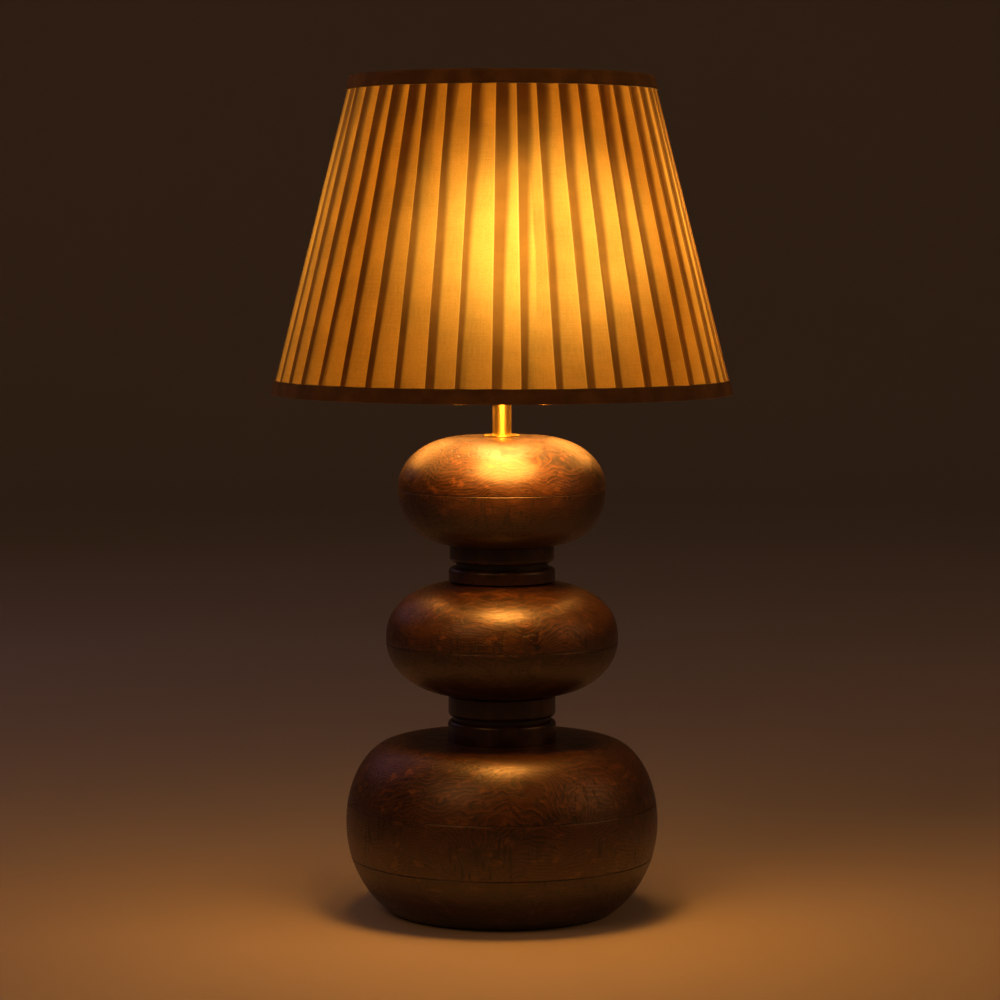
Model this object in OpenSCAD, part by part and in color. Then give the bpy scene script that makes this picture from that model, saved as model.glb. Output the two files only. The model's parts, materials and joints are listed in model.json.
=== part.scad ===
// Table lamp: three turned wooden beads clamped on a threaded rod, with a socket, a harp and
// a pleated shade above them. Millimetres, +Z up, origin at the centre of the foot.

/* [Beads] */
// Radius of the base bead at its widest
base_r = 120.2; // [112:0.1:128]
// Height of the base bead's flat top above the table
base_h = 132; // [126:0.5:138]
// Height of the base bead's widest line
base_mid = 69.4; // [62:0.1:76]
// Radius of the middle bead at its widest
middle_r = 89.3; // [82:0.1:96]
// Height of the middle bead
middle_h = 87.3; // [82:0.1:92]
// Radius of the top bead at its widest
top_r = 79.7; // [74:0.1:84]
// Height of the top bead
top_h = 83; // [78:0.5:88]

/* [Necks] */
// Radius of the turned collars
collar_r = 41; // [38:0.5:44]
// Radius of the spacer in each groove between two collars
groove_r = 36.4; // [33:0.1:38]
// Height of the collar on the base bead
base_collar_h = 16; // [12:0.5:20]
// Height of the collar under the middle bead
middle_low_collar_h = 17.2; // [13:0.1:20]
// Height of the collar on the middle bead
middle_high_collar_h = 10.7; // [8:0.1:14]
// Height of the collar under the top bead
top_collar_h = 13.3; // [10:0.1:16]
// Height of the lower groove
lower_groove_h = 3; // [2:0.5:5]
// Height of the upper groove
upper_groove_h = 4; // [2:0.5:5]
// Rounding of the collars' outer edges
collar_edge = 3.4; // [1:0.1:4]

/* [Stem] */
// Outer radius of the brass tube
tube_r = 7.3; // [6.8:0.1:8]
// Length of the brass tube
tube_h = 23; // [18:0.5:28]
// Radius of the thin flange on the top bead
flange_r = 13.9; // [11:0.1:18]
// Thickness of the thin flange
flange_t = 1.5; // [1:0.1:3]
// Outer radius of the hollow threaded rod
rod_r = 5; // [4.5:0.1:5]

/* [Foot] */
// Thickness of the felt pad
felt_t = 2; // [1:0.5:3]
// Radius of the pocket for the nut, under the base bead
pocket_r = 30; // [24:1:36]
// Height of the pocket's ceiling above the table
pocket_z = 25; // [24:0.5:28]
// Height of the cord hole's axis above the table
inlet_z = 16; // [15:0.5:17]
// Inner radius of the cord grommet
grommet_bore_r = 3.5; // [3:0.1:4]

/* [Shade] */
// Radius of the shade's bottom rim, over the trim
shade_low_r = 177.5; // [165:0.5:190]
// Radius of the shade's top rim, over the trim
shade_high_r = 116.5; // [110:0.5:125]
// Height of the shade's bottom rim above the table
shade_z = 399.2; // [396:0.1:402]
// Height of the shade
shade_h = 241.6; // [230:0.1:250]
// Height of the trim bands
trim_h = 11; // [8:0.5:14]
// Thickness of the trim's cloth
trim_t = 1.2; // [0.8:0.1:1.5]
// Depth of the layered pleats
pleat_depth = 3; // [2:0.1:4]

/* [Harp] */
// Radius of the harp's wire
harp_wire_r = 2; // [1.8:0.1:2.2]
// Half the distance between the harp's feet
harp_foot_x = 35; // [34:0.5:38]
// Half the width of the harp at its widest
harp_wide_x = 57; // [54:0.5:62]
// Number of spider arms in the shade
arm_count = 3; // [2:1:3]

/* [Bulb] */
// Largest radius of the bulb's glass
bulb_r = 27.5; // [24:0.5:28]
// Height of the bulb's widest line above its tip contact
bulb_mid = 70; // [66:0.5:74]

/* [Hidden] */

$fn = 96;
curve_steps = 26;        // chords in a quarter of a bead's outline
edge_steps = 8;          // chords in a rounded edge
wire_sides = 12;         // sides of the bent wires
slip = 0.08;             // radial gap of a running fit
gap = 0.3;               // gap between two bodies that only rest on each other
eps = 0.01;              // overshoot of a cut past a face

wood = [0.30, 0.15, 0.07];
dark_wood = [0.14, 0.07, 0.04];
brass = [0.80, 0.60, 0.28];
nickel = [0.75, 0.74, 0.70];

// Heights of the stack, from the foot up
lower_neck_z = base_h;
lower_groove_z = lower_neck_z + base_collar_h;
middle_collar_z = lower_groove_z + lower_groove_h;
middle_z = middle_collar_z + middle_low_collar_h;
upper_neck_z = middle_z + middle_h;
upper_groove_z = upper_neck_z + middle_high_collar_h;
top_collar_z = upper_groove_z + upper_groove_h;
top_z = top_collar_z + top_collar_h;
flange_z = top_z + top_h;
tube_z = flange_z + flange_t;
saddle_z = tube_z + tube_h;

// Outlines of the beads: where the widest line lies, the flat seats and how full the curves are
base_pole_z = -8;        // where the base's lower curve would close if the foot didn't cut it
base_seat_low = 57;
base_seat_top = 80;
middle_mid = 42.3;
middle_seat_low = 35.7;
middle_seat_top = 17;
middle_full_top = 2.4;
top_mid = 44.4;
top_seat_low = 36.5;
top_seat_top = 30;
top_full_low = 2.2;
round_full = 2;

rod_bore_r = rod_r + 0.3;
rod_wall = 1.6;
rod_z = 8;
rod_top_z = saddle_z + 8;
foot_inset = 2;

washer_r = 17;
washer_t = 1.8;
lock_washer_r = 9;
lock_washer_t = 1.6;
nut_r = 9.8;
nut_t = 6;
washer_z = pocket_z - washer_t;
lock_washer_z = washer_z - lock_washer_t;
nut_z = lock_washer_z - nut_t;

grommet_sleeve_r = 5.5;
grommet_flange_r = 8;
grommet_flange_t = 2.5;
grommet_length = 14.5;
inlet_face_y = 93.5;

saddle_t = 1.6;
saddle_w = 14;
post_r = 3;
post_h = 20;
post_bore_r = harp_wire_r + slip;

cap_z = saddle_z + saddle_t;
cap_r = 17;
cap_neck_r = 7.4;
cap_neck_h = 5;
cap_h = 20;
sheet_t = 0.7;
set_screw_r = 1.4;
shell_r = cap_r - sheet_t - 0.1;
shell_low_z = cap_z + 14.5;
shell_top_z = cap_z + 57;
sleeve_t = 0.5;
interior_r = 14.5;
interior_z = cap_z + 14;
interior_h = 14.4;
contact_z = interior_z + interior_h;
thread_pitch = 3.6;
thread_in_r = 13.15;
thread_depth = 0.55;
thread_t = 0.4;
screw_shell_h = 25;
terminal_x = 12.4;
switch_z = interior_z + 7.5;
spindle_r = 1.5;
spindle_in_y = 5;
spindle_out_y = 27;
knob_y = 21;
knob_length = 14;
knob_r = 6;
knob_flutes = 16;

bulb_tip_z = contact_z + 3.3;
bulb_mid_z = bulb_tip_z + bulb_mid;
bulb_cap_z = bulb_tip_z + 4;
bulb_cap_h = 22;
bulb_cap_r = 12.95;
bulb_neck_r = 13;
bulb_neck_z = bulb_cap_z + bulb_cap_h;
glass_t = 0.9;
shoulder = 40;           // angle below the bulb's widest line at which the neck takes over
neck_straight = 6;
stem_r = 3.4;
stem_top_z = bulb_mid_z - 16;
filament_z = bulb_mid_z - 2;
filament_half = 11;

harp_bend = 30;          // angle that the wire leans out between its feet and its widest part
harp_foot_z = saddle_z + 3;
harp_bend_z = saddle_z + 42;
harp_s_r = (harp_wide_x - harp_foot_x) / (2 * (1 - cos(harp_bend)));
harp_wide_z = harp_bend_z + 2 * harp_s_r * sin(harp_bend);
harp_top_r = 45;
stud_r = 3.12;
hub_z = shade_z + 214.6;
boss_r = 7;
boss_top_z = hub_z - gap;
boss_h = 7;
harp_top_z = boss_top_z - boss_h / 2;
hub_r = 12;
hub_t = 3;
finial_z = hub_z + hub_t + gap;
finial_bore_h = 14;
ball_r = 8;
ball_z = finial_z + 13.2;

shade_top_z = shade_z + shade_h;
liner_t = 0.8;
ring_wire_r = 1.6;
arm_r = 1.5;
arm_bend_r = 8;
fabric_in = trim_t + 0.2;                    // distance in from the trim's face to the pleats
liner_in = fabric_in + pleat_depth + 0.1;
ring_in = liner_in + liner_t + ring_wire_r + 0.2;
low_ring_z = shade_z + trim_t + 0.2 + ring_wire_r;
high_ring_z = shade_top_z - trim_t - 0.2 - ring_wire_r;
low_ring_r = shade_radius(low_ring_z) - ring_in;
high_ring_r = shade_radius(high_ring_z) - ring_in;
hem_h = 7.8;
hem_in = ring_wire_r + 0.6;                  // from a ring's wire centre to the hem inside it

// ---------- outlines ----------

// Outer radius of the shade, over its trim, at height z
function shade_radius(z) = shade_low_r + (shade_high_r - shade_low_r) * (z - shade_z) / shade_h;

// A bead's quarter outline from its widest line (r1, z0) to its seat (r0, z1), stopped at angle last
function quarter(r0, r1, z0, z1, full, last = 90) =
    [for (i = [0 : curve_steps])
        let (t = last * i / curve_steps)
        [r0 + (r1 - r0) * pow(cos(t), 2 / full), z0 + (z1 - z0) * pow(sin(t), 2 / full)]];

function backwards(list) = [for (i = [len(list) - 1 : -1 : 0]) list[i]];

// Points of an arc about (r, z)
function arc(r, z, radius, from, to, steps = edge_steps) =
    [for (i = [0 : steps])
        let (a = from + (to - from) * i / steps)
        [r + radius * cos(a), z + radius * sin(a)]];

// A thread-like wave in a wall from z0 to z1, as rings
function wave(radius, depth, z0, z1, steps = 8) =
    [for (i = [0 : round((z1 - z0) / thread_pitch * steps)])
        let (z = z0 + i * thread_pitch / steps)
        [radius + depth * (1 - cos(360 * i / steps)) / 2, min(z, z1)]];

// The bulb's outline, inset by d: neck, shoulder and ball
function bulb_outline(d) =
    let (ball = bulb_r - d)
    let (neck = bulb_neck_r - d)
    let (z0 = bulb_neck_z + neck_straight)
    let (z1 = bulb_mid_z - ball * sin(shoulder))
    let (r1 = ball * cos(shoulder))
    let (slope = tan(shoulder) * (z1 - z0))
    concat(
        [[neck, bulb_neck_z]],
        [for (i = [0 : edge_steps])
            let (t = i / edge_steps)
            [neck + (r1 - neck) * (3 * t * t - 2 * t * t * t) + slope * (t * t * t - t * t),
             z0 + (z1 - z0) * t]],
        [for (i = [1 : curve_steps])
            let (a = -shoulder + (90 + shoulder) * i / curve_steps)
            [ball * cos(a), bulb_mid_z + ball * sin(a)]]);

// ---------- building blocks ----------

// A ring turned about +Z with a straight bore: outline runs from the bore's bottom to its top
module turned(outline, bore) {
    bottom = outline[0][1];
    top = outline[len(outline) - 1][1];
    rotate_extrude()
        polygon(concat([[bore, bottom]], outline, [[bore, top]]));
}

module tube(outer, inner, z0, z1) {
    translate([0, 0, z0])
        difference() {
            cylinder(r = outer, h = z1 - z0);
            translate([0, 0, -eps])
                cylinder(r = inner, h = z1 - z0 + 2 * eps);
        }
}

// A disc collar with rounded outer edges of radius low and high
module collar(radius, z0, z1, low, high) {
    turned(concat(arc(radius - low, z0 + low, low, -90, 0), arc(radius - high, z1 - high, high, 0, 90)),
           rod_bore_r);
}

// A length of round bar along +X from x0 to x1
module bar_x(radius, x0, x1) {
    translate([x0, 0, 0])
        rotate([0, 90, 0])
            cylinder(r = radius, h = x1 - x0);
}

// A length of round bar along -Y from y0 to y1
module bar_y(radius, y0, y1) {
    translate([0, -y0, 0])
        rotate([90, 0, 0])
            cylinder(r = radius, h = y1 - y0);
}

// Round wire bent along a smooth path of [x, z] points in the XZ plane
module wire(path, radius) {
    last = len(path) - 1;
    points = [for (i = [0 : last])
        let (run = path[min(i + 1, last)] - path[max(i - 1, 0)])
        let (side = [run[1], -run[0]] / norm(run))
        for (s = [0 : wire_sides - 1])
            let (a = 360 * s / wire_sides)
            [path[i][0] + radius * cos(a) * side[0], radius * sin(a), path[i][1] + radius * cos(a) * side[1]]];
    walls = [for (i = [0 : last - 1], s = [0 : wire_sides - 1])
        let (next = (s + 1) % wire_sides)
        [i * wire_sides + s, i * wire_sides + next, (i + 1) * wire_sides + next, (i + 1) * wire_sides + s]];
    start = [for (s = [wire_sides - 1 : -1 : 0]) s];
    end = [for (s = [0 : wire_sides - 1]) last * wire_sides + s];
    polyhedron(points, concat([start], walls, [end]));
}

// A layer of the shade's cone between two distances in from the trim's face
module cone_layer(near, far, z0, z1) {
    rotate_extrude()
        polygon([[shade_radius(z0) - near, z0], [shade_radius(z1) - near, z1],
                 [shade_radius(z1) - far, z1], [shade_radius(z0) - far, z0]]);
}

// A wire ring lying flat
module wire_ring(radius, z) {
    translate([0, 0, z])
        rotate_extrude()
            translate([radius, 0])
                circle(r = ring_wire_r, $fn = 24);
}

// ---------- foot, beads and necks ----------

module felt_pad() {
    foot_r = base_seat_low + (base_r - base_seat_low) * cos(foot_angle());
    color("darkolivegreen")
        cylinder(r = foot_r - foot_inset, h = felt_t);
}

// Angle on the base's lower curve at which the foot cuts it
function foot_angle() = asin((base_mid - felt_t) / (base_mid - base_pole_z));

module base_bead() {
    lower = quarter(base_seat_low, base_r, base_mid, base_pole_z, round_full, foot_angle());
    upper = quarter(base_seat_top, base_r, base_mid, base_h, round_full);
    color(wood)
        difference() {
            turned(concat(backwards(lower), upper), rod_bore_r);
            translate([0, 0, felt_t - eps])
                cylinder(r = pocket_r, h = pocket_z - felt_t + eps);
            translate([0, 0, inlet_z])
                rotate([-90, 0, 0])
                    cylinder(r = grommet_sleeve_r, h = base_r);
            translate([0, inlet_face_y, inlet_z])
                rotate([-90, 0, 0])
                    cylinder(r = grommet_flange_r + 0.4, h = base_r);
        }
}

module middle_bead() {
    mid_z = middle_z + middle_mid;
    lower = quarter(middle_seat_low, middle_r, mid_z, middle_z, round_full);
    upper = quarter(middle_seat_top, middle_r, mid_z, upper_neck_z, middle_full_top);
    color(wood)
        turned(concat(backwards(lower), upper), rod_bore_r);
}

module top_bead() {
    mid_z = top_z + top_mid;
    lower = quarter(top_seat_low, top_r, mid_z, top_z, top_full_low);
    upper = quarter(top_seat_top, top_r, mid_z, flange_z, round_full);
    color(wood)
        turned(concat(backwards(lower), upper), rod_bore_r);
}

module base_collar() {
    color(dark_wood)
        collar(collar_r + 0.7, lower_neck_z, lower_groove_z, 0.5, collar_edge);
}

module lower_neck_spacer() {
    color("black")
        tube(groove_r + 1, rod_bore_r, lower_groove_z, middle_collar_z);
}

module middle_lower_collar() {
    color(dark_wood)
        collar(collar_r + 0.3, middle_collar_z, middle_z, collar_edge, 2);
}

module middle_upper_collar() {
    color(dark_wood)
        collar(collar_r, upper_neck_z, upper_groove_z, 0.5, collar_edge);
}

module upper_neck_spacer() {
    color("black")
        tube(groove_r - 1.1, rod_bore_r, upper_groove_z, top_collar_z);
}

module top_lower_collar() {
    color(dark_wood)
        collar(collar_r - 0.8, top_collar_z, top_z, collar_edge, 0.5);
}

// ---------- rod, tube and hardware ----------

module tube_flange() {
    edge = flange_t / 2 - 0.05;
    color(brass)
        turned(concat(arc(flange_r - edge, flange_z + edge, edge, -90, 0),
                      arc(flange_r - edge, tube_z - edge, edge, 0, 90)), rod_bore_r);
}

module brass_tube() {
    color(brass)
        tube(tube_r, rod_bore_r, tube_z, saddle_z);
}

module threaded_rod() {
    color(nickel)
        tube(rod_r, rod_r - rod_wall, rod_z, rod_top_z);
}

module flat_washer() {
    color(nickel)
        tube(washer_r, rod_bore_r, washer_z, pocket_z);
}

module lock_washer() {
    slit = 1.6;
    color(nickel)
        difference() {
            tube(lock_washer_r, rod_bore_r, lock_washer_z, washer_z);
            translate([0, -slit / 2, lock_washer_z - eps])
                cube([lock_washer_r + 1, slit, lock_washer_t + 2 * eps]);
        }
}

module hex_nut() {
    color(nickel)
        translate([0, 0, nut_z])
            difference() {
                cylinder(r = nut_r, h = nut_t, $fn = 6);
                translate([0, 0, -eps])
                    cylinder(r = rod_r + 0.05, h = nut_t + 2 * eps);
            }
}

module cord_grommet() {
    flange_y = inlet_face_y + grommet_flange_t;
    color("black")
        translate([0, flange_y, inlet_z])
            rotate([90, 0, 0])
                difference() {
                    union() {
                        cylinder(r = grommet_flange_r, h = grommet_flange_t);
                        cylinder(r = grommet_sleeve_r - 0.05, h = grommet_length);
                    }
                    translate([0, 0, -eps])
                        cylinder(r = grommet_bore_r, h = grommet_length + 2 * eps);
                }
}

// ---------- socket ----------

module harp_saddle() {
    color(brass)
        difference() {
            union() {
                translate([-harp_foot_x, -saddle_w / 2, saddle_z])
                    cube([2 * harp_foot_x, saddle_w, saddle_t]);
                for (side = [-1, 1])
                    translate([side * harp_foot_x, 0, saddle_z]) {
                        cylinder(r = saddle_w / 2, h = saddle_t);
                        cylinder(r = post_r, h = post_h);
                    }
            }
            translate([0, 0, saddle_z - eps])
                cylinder(r = rod_bore_r, h = saddle_t + 2 * eps);
            for (side = [-1, 1])
                translate([side * harp_foot_x, 0, saddle_z + saddle_t])
                    cylinder(r = post_bore_r, h = post_h);
        }
}

module socket_cap() {
    wide_z = cap_z + cap_neck_h + 9;
    outside = concat([[cap_neck_r, cap_z], [cap_neck_r, cap_z + cap_neck_h]],
                     arc(cap_neck_r, wide_z, cap_r - cap_neck_r, -60, 0),
                     [[cap_r, cap_z + cap_h]]);
    inside = concat([[cap_r - sheet_t, cap_z + cap_h]],
                    backwards(arc(cap_neck_r, wide_z, cap_r - cap_neck_r - sheet_t, -60, 0)),
                    [[rod_r + 0.05, cap_z + cap_neck_h + 1.2], [rod_r + 0.05, cap_z]]);
    color(brass)
        difference() {
            rotate_extrude()
                polygon(concat(outside, inside));
            translate([0, 0, cap_z + cap_neck_h / 2])
                rotate([-90, 0, 0])
                    cylinder(r = set_screw_r + 0.05, h = cap_r);
        }
}

module cap_set_screw() {
    color(nickel)
        translate([0, 0, cap_z + cap_neck_h / 2])
            difference() {
                rotate([0, 0, 180])
                    bar_y(set_screw_r, rod_r + 0.1, cap_neck_r + 1.4);
                translate([-set_screw_r, cap_neck_r + 0.8, -0.25])
                    cube([2 * set_screw_r, 1, 0.5]);
            }
}

module socket_shell() {
    inner = shell_r - sheet_t;
    rib_z = shell_low_z + 13.5;
    lip_z = shell_top_z - 1.2;
    outside = concat([[shell_r, shell_low_z]],
                     arc(shell_r - 0.4, rib_z, 1.2, -60, 60),
                     arc(shell_r - 0.2, lip_z, 1.2, -60, 90));
    inside = [[inner, shell_top_z], [inner, shell_low_z]];
    color(brass)
        difference() {
            rotate_extrude()
                polygon(concat(outside, inside));
            translate([0, 0, switch_z])
                bar_y(spindle_r + 1.2, inner - 2, shell_r + 2);
        }
}

module socket_sleeve() {
    outer = shell_r - sheet_t - 0.1;
    color("burlywood")
        difference() {
            tube(outer, outer - sleeve_t, shell_low_z + 1, shell_top_z - 1);
            translate([0, 0, switch_z])
                bar_y(spindle_r + 1, outer - 2, outer + 1);
        }
}

module socket_interior() {
    color([0.12, 0.08, 0.06])
        difference() {
            translate([0, 0, interior_z])
                cylinder(r = interior_r, h = interior_h);
            translate([0, 0, switch_z])
                bar_y(spindle_r + slip, spindle_in_y - gap, interior_r + 1);
            for (turn = [0, 180])
                rotate([0, 0, turn])
                    translate([0, 0, interior_z + 4.5]) {
                        bar_x(3.1, terminal_x, interior_r + 1);
                        bar_x(1.55, terminal_x - 6.1, terminal_x + 1);
                    }
        }
}

module screw_shell() {
    z0 = contact_z;
    wall_z = z0 + 1.5;
    top = z0 + screw_shell_h;
    inside = wave(thread_in_r, thread_depth, wall_z, top - 1.5);
    outside = wave(thread_in_r + thread_t, thread_depth, wall_z, top - 1.5);
    color("gainsboro")
        rotate_extrude()
            polygon(concat([[9, z0], [thread_in_r + thread_t, z0]],
                           outside,
                           [[thread_in_r + thread_t, top], [thread_in_r, top]],
                           backwards(inside),
                           [[thread_in_r, z0 + thread_t], [9, z0 + thread_t]]));
}

module centre_contact() {
    color("peru")
        translate([0, 0, contact_z]) {
            cylinder(r = 5, h = 0.8);
            translate([0, 0, 0.8])
                cylinder(r1 = 3.4, r2 = 2.2, h = 2.1, $fn = 32);
        }
}

module terminal_screws() {
    color(nickel)
        for (turn = [0, 180])
            rotate([0, 0, turn])
                translate([0, 0, interior_z + 4.5])
                    difference() {
                        union() {
                            bar_x(1.5, terminal_x - 6, terminal_x + 0.5);
                            bar_x(2.9, terminal_x + 0.1, terminal_x + 1.7);
                        }
                        translate([terminal_x + 1.1, -3, -0.35])
                            cube([1, 6, 0.7]);
                    }
}

module switch_spindle() {
    color(brass)
        translate([0, 0, switch_z])
            bar_y(spindle_r, spindle_in_y, spindle_out_y);
}

module switch_knob() {
    color("black")
        translate([0, 0, switch_z])
            difference() {
                union() {
                    bar_y(knob_r - 0.6, knob_y, knob_y + knob_length);
                    bar_y(knob_r, knob_y + 3, knob_y + knob_length - 1);
                }
                for (i = [0 : knob_flutes - 1])
                    rotate([0, 360 * i / knob_flutes, 0])
                        translate([knob_r + 0.1, 0, 0])
                            bar_y(0.7, knob_y + 3 - eps, knob_y + knob_length + 1);
                bar_y(spindle_r + 0.02, knob_y - 1, spindle_out_y + 0.1);
            }
}

// ---------- bulb ----------

module bulb_glass() {
    color("ivory", 0.6)
        rotate_extrude()
            polygon(concat(bulb_outline(0), backwards(bulb_outline(glass_t))));
}

module bulb_cap() {
    low = bulb_cap_z;
    top = bulb_neck_z + 1.4;
    wall = wave(bulb_cap_r - thread_depth, thread_depth, low + 2, low + 19);
    color("silver")
        rotate_extrude()
            polygon(concat([[8.2, low], [10.6, low]],
                           wall,
                           [[bulb_cap_r, bulb_neck_z - 0.4], [bulb_neck_r + 0.6, bulb_neck_z - 0.3],
                            [bulb_neck_r + 0.6, top], [bulb_neck_r + 0.1, top],
                            [bulb_neck_r + 0.1, bulb_neck_z - 0.1], [11.6, bulb_neck_z - 0.1],
                            [11.6, low + 2.2], [8.2, low + 0.8]]));
}

module bulb_insulator() {
    z = bulb_tip_z + 1;
    color("black")
        rotate_extrude()
            polygon([[0, z], [5.2, z], [8.1, bulb_cap_z - 0.05], [8.1, bulb_cap_z + 0.8], [0, bulb_cap_z + 0.8]]);
}

module bulb_tip() {
    color("silver")
        rotate_extrude()
            polygon(concat([[0, bulb_tip_z]], arc(2.6, bulb_tip_z + 0.5, 0.5, -90, 0, 4),
                           [[4.6, bulb_tip_z + 0.95], [0, bulb_tip_z + 0.95]]));
}

module bulb_stem() {
    flare_z = bulb_neck_z + 2;
    color("lightcyan")
        rotate_extrude()
            polygon([[0, flare_z + 1.2], [11.4, flare_z], [11.4, flare_z + 0.8], [7, flare_z + 3],
                     [4.4, flare_z + 8], [stem_r, flare_z + 14], [stem_r, stem_top_z - 2],
                     [stem_r - 1, stem_top_z], [0, stem_top_z]]);
}

module lead_wires() {
    color(nickel)
        for (side = [-1, 1])
            wire([[side * 1.8, stem_top_z + 0.1], [side * filament_half, filament_z - 0.9]], 0.35);
}

module filament() {
    color("orange")
        translate([0, 0, filament_z])
            bar_x(0.8, -filament_half, filament_half);
}

// ---------- harp ----------

// The wire's path from the right foot to the middle of the top
function harp_path() =
    concat([[harp_foot_x, harp_foot_z]],
           arc(harp_foot_x + harp_s_r, harp_bend_z, harp_s_r, 180, 180 - harp_bend, 5),
           arc(harp_wide_x - harp_s_r, harp_wide_z, harp_s_r, -harp_bend, 0, 5),
           arc(harp_wide_x - harp_top_r, harp_top_z - harp_top_r, harp_top_r, 0, 90, 10),
           [[0, harp_top_z]]);

module harp() {
    right = harp_path();
    left = [for (i = [len(right) - 2 : -1 : 0]) [-right[i][0], right[i][1]]];
    color(brass)
        wire(concat(right, left), harp_wire_r);
}

module harp_stud() {
    color(brass)
        difference() {
            union() {
                translate([0, 0, boss_top_z - boss_h])
                    cylinder(r = boss_r, h = boss_h);
                translate([0, 0, boss_top_z - 1])
                    cylinder(r = stud_r, h = finial_z + finial_bore_h - 1 - boss_top_z);
            }
            translate([0, 0, harp_top_z])
                bar_x(harp_wire_r + 0.05, -boss_r - 1, boss_r + 1);
        }
}

// A tapered sleeve that drops over a saddle post and the wire above it
module harp_sleeve(side) {
    post_top = saddle_z + post_h;
    bottom = post_top - 11;
    top = post_top + 4;
    color(brass)
        translate([side * harp_foot_x, 0, 0])
            rotate_extrude()
                polygon([[post_r + slip, bottom], [4, bottom], [4, bottom + 3], [3.6, top - 0.5],
                         [3.2, top], [post_bore_r, top], [post_bore_r, post_top + gap],
                         [post_r + slip, post_top + gap]]);
}

module harp_sleeve_left() {
    harp_sleeve(-1);
}

module harp_sleeve_right() {
    harp_sleeve(1);
}

// ---------- shade ----------

module spider_hub() {
    edge = 0.8;
    color(brass)
        turned(concat(arc(hub_r - edge, hub_z + edge, edge, -90, 0, 4),
                      arc(hub_r - edge, hub_z + hub_t - edge, edge, 0, 90, 4)), stud_r + gap);
}

module spider_arms() {
    arm_z = hub_z + hub_t / 2;
    bend_x = high_ring_r - arm_bend_r;
    path = concat([[hub_r - 0.6, arm_z]],
                  arc(bend_x, arm_z + arm_bend_r, arm_bend_r, -90, 0, 6),
                  [[high_ring_r, high_ring_z - ring_wire_r + 0.4]]);
    color(brass)
        for (i = [0 : arm_count - 1])
            rotate([0, 0, 90 + 360 * i / arm_count])
                wire(path, arm_r);
}

module shade_top_ring() {
    color(brass)
        wire_ring(high_ring_r, high_ring_z);
}

module shade_bottom_ring() {
    color(brass)
        wire_ring(low_ring_r, low_ring_z);
}

module shade_liner() {
    color("antiquewhite")
        cone_layer(liner_in, liner_in + liner_t, shade_z + trim_t + 0.1, shade_top_z - trim_t - 0.1);
}

module pleated_fabric() {
    color("goldenrod")
        cone_layer(fabric_in, fabric_in + pleat_depth, shade_z + trim_t + 0.1, shade_top_z - trim_t - 0.1);
}

// A cloth band folded over a rim: a sloped outer face, the fold and a straight hem inside
module rim_band(rim_z, away, hem_r) {
    band_z = rim_z + away * trim_h;
    fold_z = rim_z + away * trim_t;
    hem_z = rim_z + away * hem_h;
    rotate_extrude()
        polygon([[shade_radius(rim_z), rim_z], [shade_radius(band_z), band_z],
                 [shade_radius(band_z) - trim_t, band_z], [shade_radius(fold_z) - trim_t, fold_z],
                 [hem_r, fold_z], [hem_r, hem_z], [hem_r - trim_t, hem_z], [hem_r - trim_t, rim_z]]);
}

module top_trim() {
    color([0.25, 0.16, 0.09])
        rim_band(shade_top_z, -1, high_ring_r - hem_in);
}

module bottom_trim() {
    color([0.25, 0.16, 0.09])
        rim_band(shade_z, 1, low_ring_r - hem_in);
}

module finial() {
    neck = 4.6;
    ball_angle = asin(neck / ball_r);
    outline = concat([[6.4, finial_z]], arc(6.4, finial_z + 0.8, 0.8, -90, 60, 5),
                     [[neck, finial_z + 3]],
                     arc(0, ball_z, ball_r, ball_angle - 90, 90, curve_steps));
    bore_z = finial_z + finial_bore_h;
    color(brass)
        rotate_extrude()
            polygon(concat([[stud_r + slip, finial_z]], outline, [[0, bore_z], [stud_r + slip, bore_z]]));
}

felt_pad();
base_bead();
base_collar();
lower_neck_spacer();
middle_lower_collar();
middle_bead();
middle_upper_collar();
upper_neck_spacer();
top_lower_collar();
top_bead();
tube_flange();
brass_tube();
threaded_rod();
flat_washer();
lock_washer();
hex_nut();
cord_grommet();
harp_saddle();
socket_cap();
cap_set_screw();
socket_shell();
socket_sleeve();
socket_interior();
screw_shell();
centre_contact();
terminal_screws();
switch_spindle();
switch_knob();
bulb_glass();
bulb_cap();
bulb_insulator();
bulb_tip();
bulb_stem();
lead_wires();
filament();
harp();
harp_stud();
harp_sleeve_left();
harp_sleeve_right();
spider_hub();
spider_arms();
shade_top_ring();
shade_bottom_ring();
shade_liner();
pleated_fabric();
top_trim();
bottom_trim();
finial();
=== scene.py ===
import functools
import json
import math
import random

import bpy
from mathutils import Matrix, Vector, noise

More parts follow.
